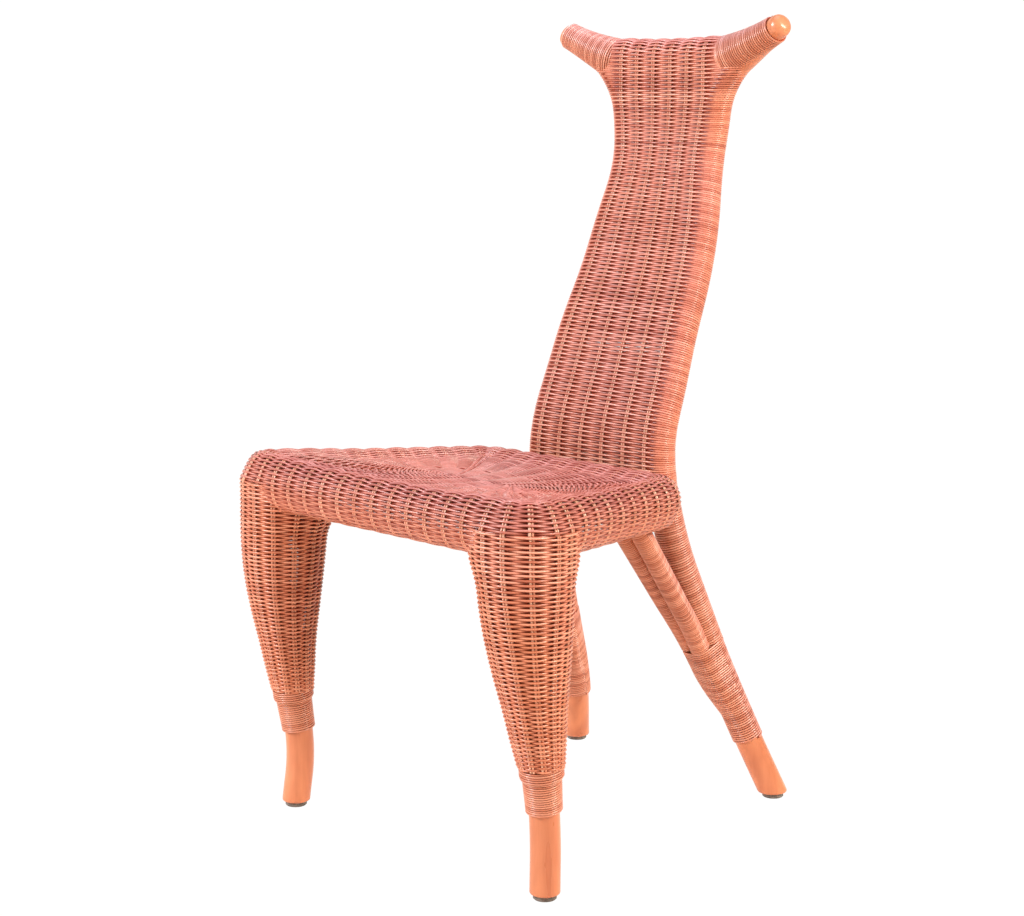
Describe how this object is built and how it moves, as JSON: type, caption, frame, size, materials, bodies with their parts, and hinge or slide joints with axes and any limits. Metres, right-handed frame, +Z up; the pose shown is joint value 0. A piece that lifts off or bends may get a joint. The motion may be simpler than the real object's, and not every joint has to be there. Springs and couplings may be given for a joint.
{
  "type": "rattan chair",
  "caption": "woven rattan side chair with a dished seat, swollen woven front legs, braced splayed rear legs and a tall narrow back ending in two horns",
  "frame": {"origin": "on the floor, under the middle of the chair's box", "axes": "+Z up, the sitter faces -Y, +X is the sitter's left"},
  "size_m": [0.5392, 0.5576, 0.9853],
  "materials": {
    "rattan_pole": "glossy lacquer over orange-brown rattan skin",
    "woven_reed": "lacquered round reed, salmon to orange, paler stakes",
    "reed_wrap": "close-wound lacquered round reed",
    "dowel": "plain wood",
    "glide": "matt grey moulded plastic"
  },
  "bodies": {
    "root": {"back_lower_rail": "rattan_pole", "back_top_rail": "rattan_pole", "back_weave": "woven_reed", "frame_dowels": "dowel", "front_left_ankle_binding": "reed_wrap", "front_left_glide": "glide", "front_left_leg_pole": "rattan_pole", "front_left_leg_weave": "woven_reed", "front_right_ankle_binding": "reed_wrap", "front_right_glide": "glide", "front_right_leg_pole": "rattan_pole", "front_right_leg_weave": "woven_reed", "left_back_post": "rattan_pole", "left_horn_wrap": "reed_wrap", "left_inner_brace": "rattan_pole", "left_inner_brace_wrap": "reed_wrap", "left_outer_brace": "rattan_pole", "left_outer_brace_wrap": "reed_wrap", "left_post_wrap": "reed_wrap", "left_rear_leg_binding": "reed_wrap", "rear_left_glide": "glide", "rear_right_glide": "glide", "right_back_post": "rattan_pole", "right_horn_wrap": "reed_wrap", "right_inner_brace": "rattan_pole", "right_inner_brace_wrap": "reed_wrap", "right_outer_brace": "rattan_pole", "right_outer_brace_wrap": "reed_wrap", "right_post_wrap": "reed_wrap", "right_rear_leg_binding": "reed_wrap", "seat_front_cross_rail": "rattan_pole", "seat_front_rail": "rattan_pole", "seat_left_side_rail": "rattan_pole", "seat_rear_cross_rail": "rattan_pole", "seat_rear_rail": "rattan_pole", "seat_right_side_rail": "rattan_pole", "seat_weave": "woven_reed"}
  },
  "joints": []
}
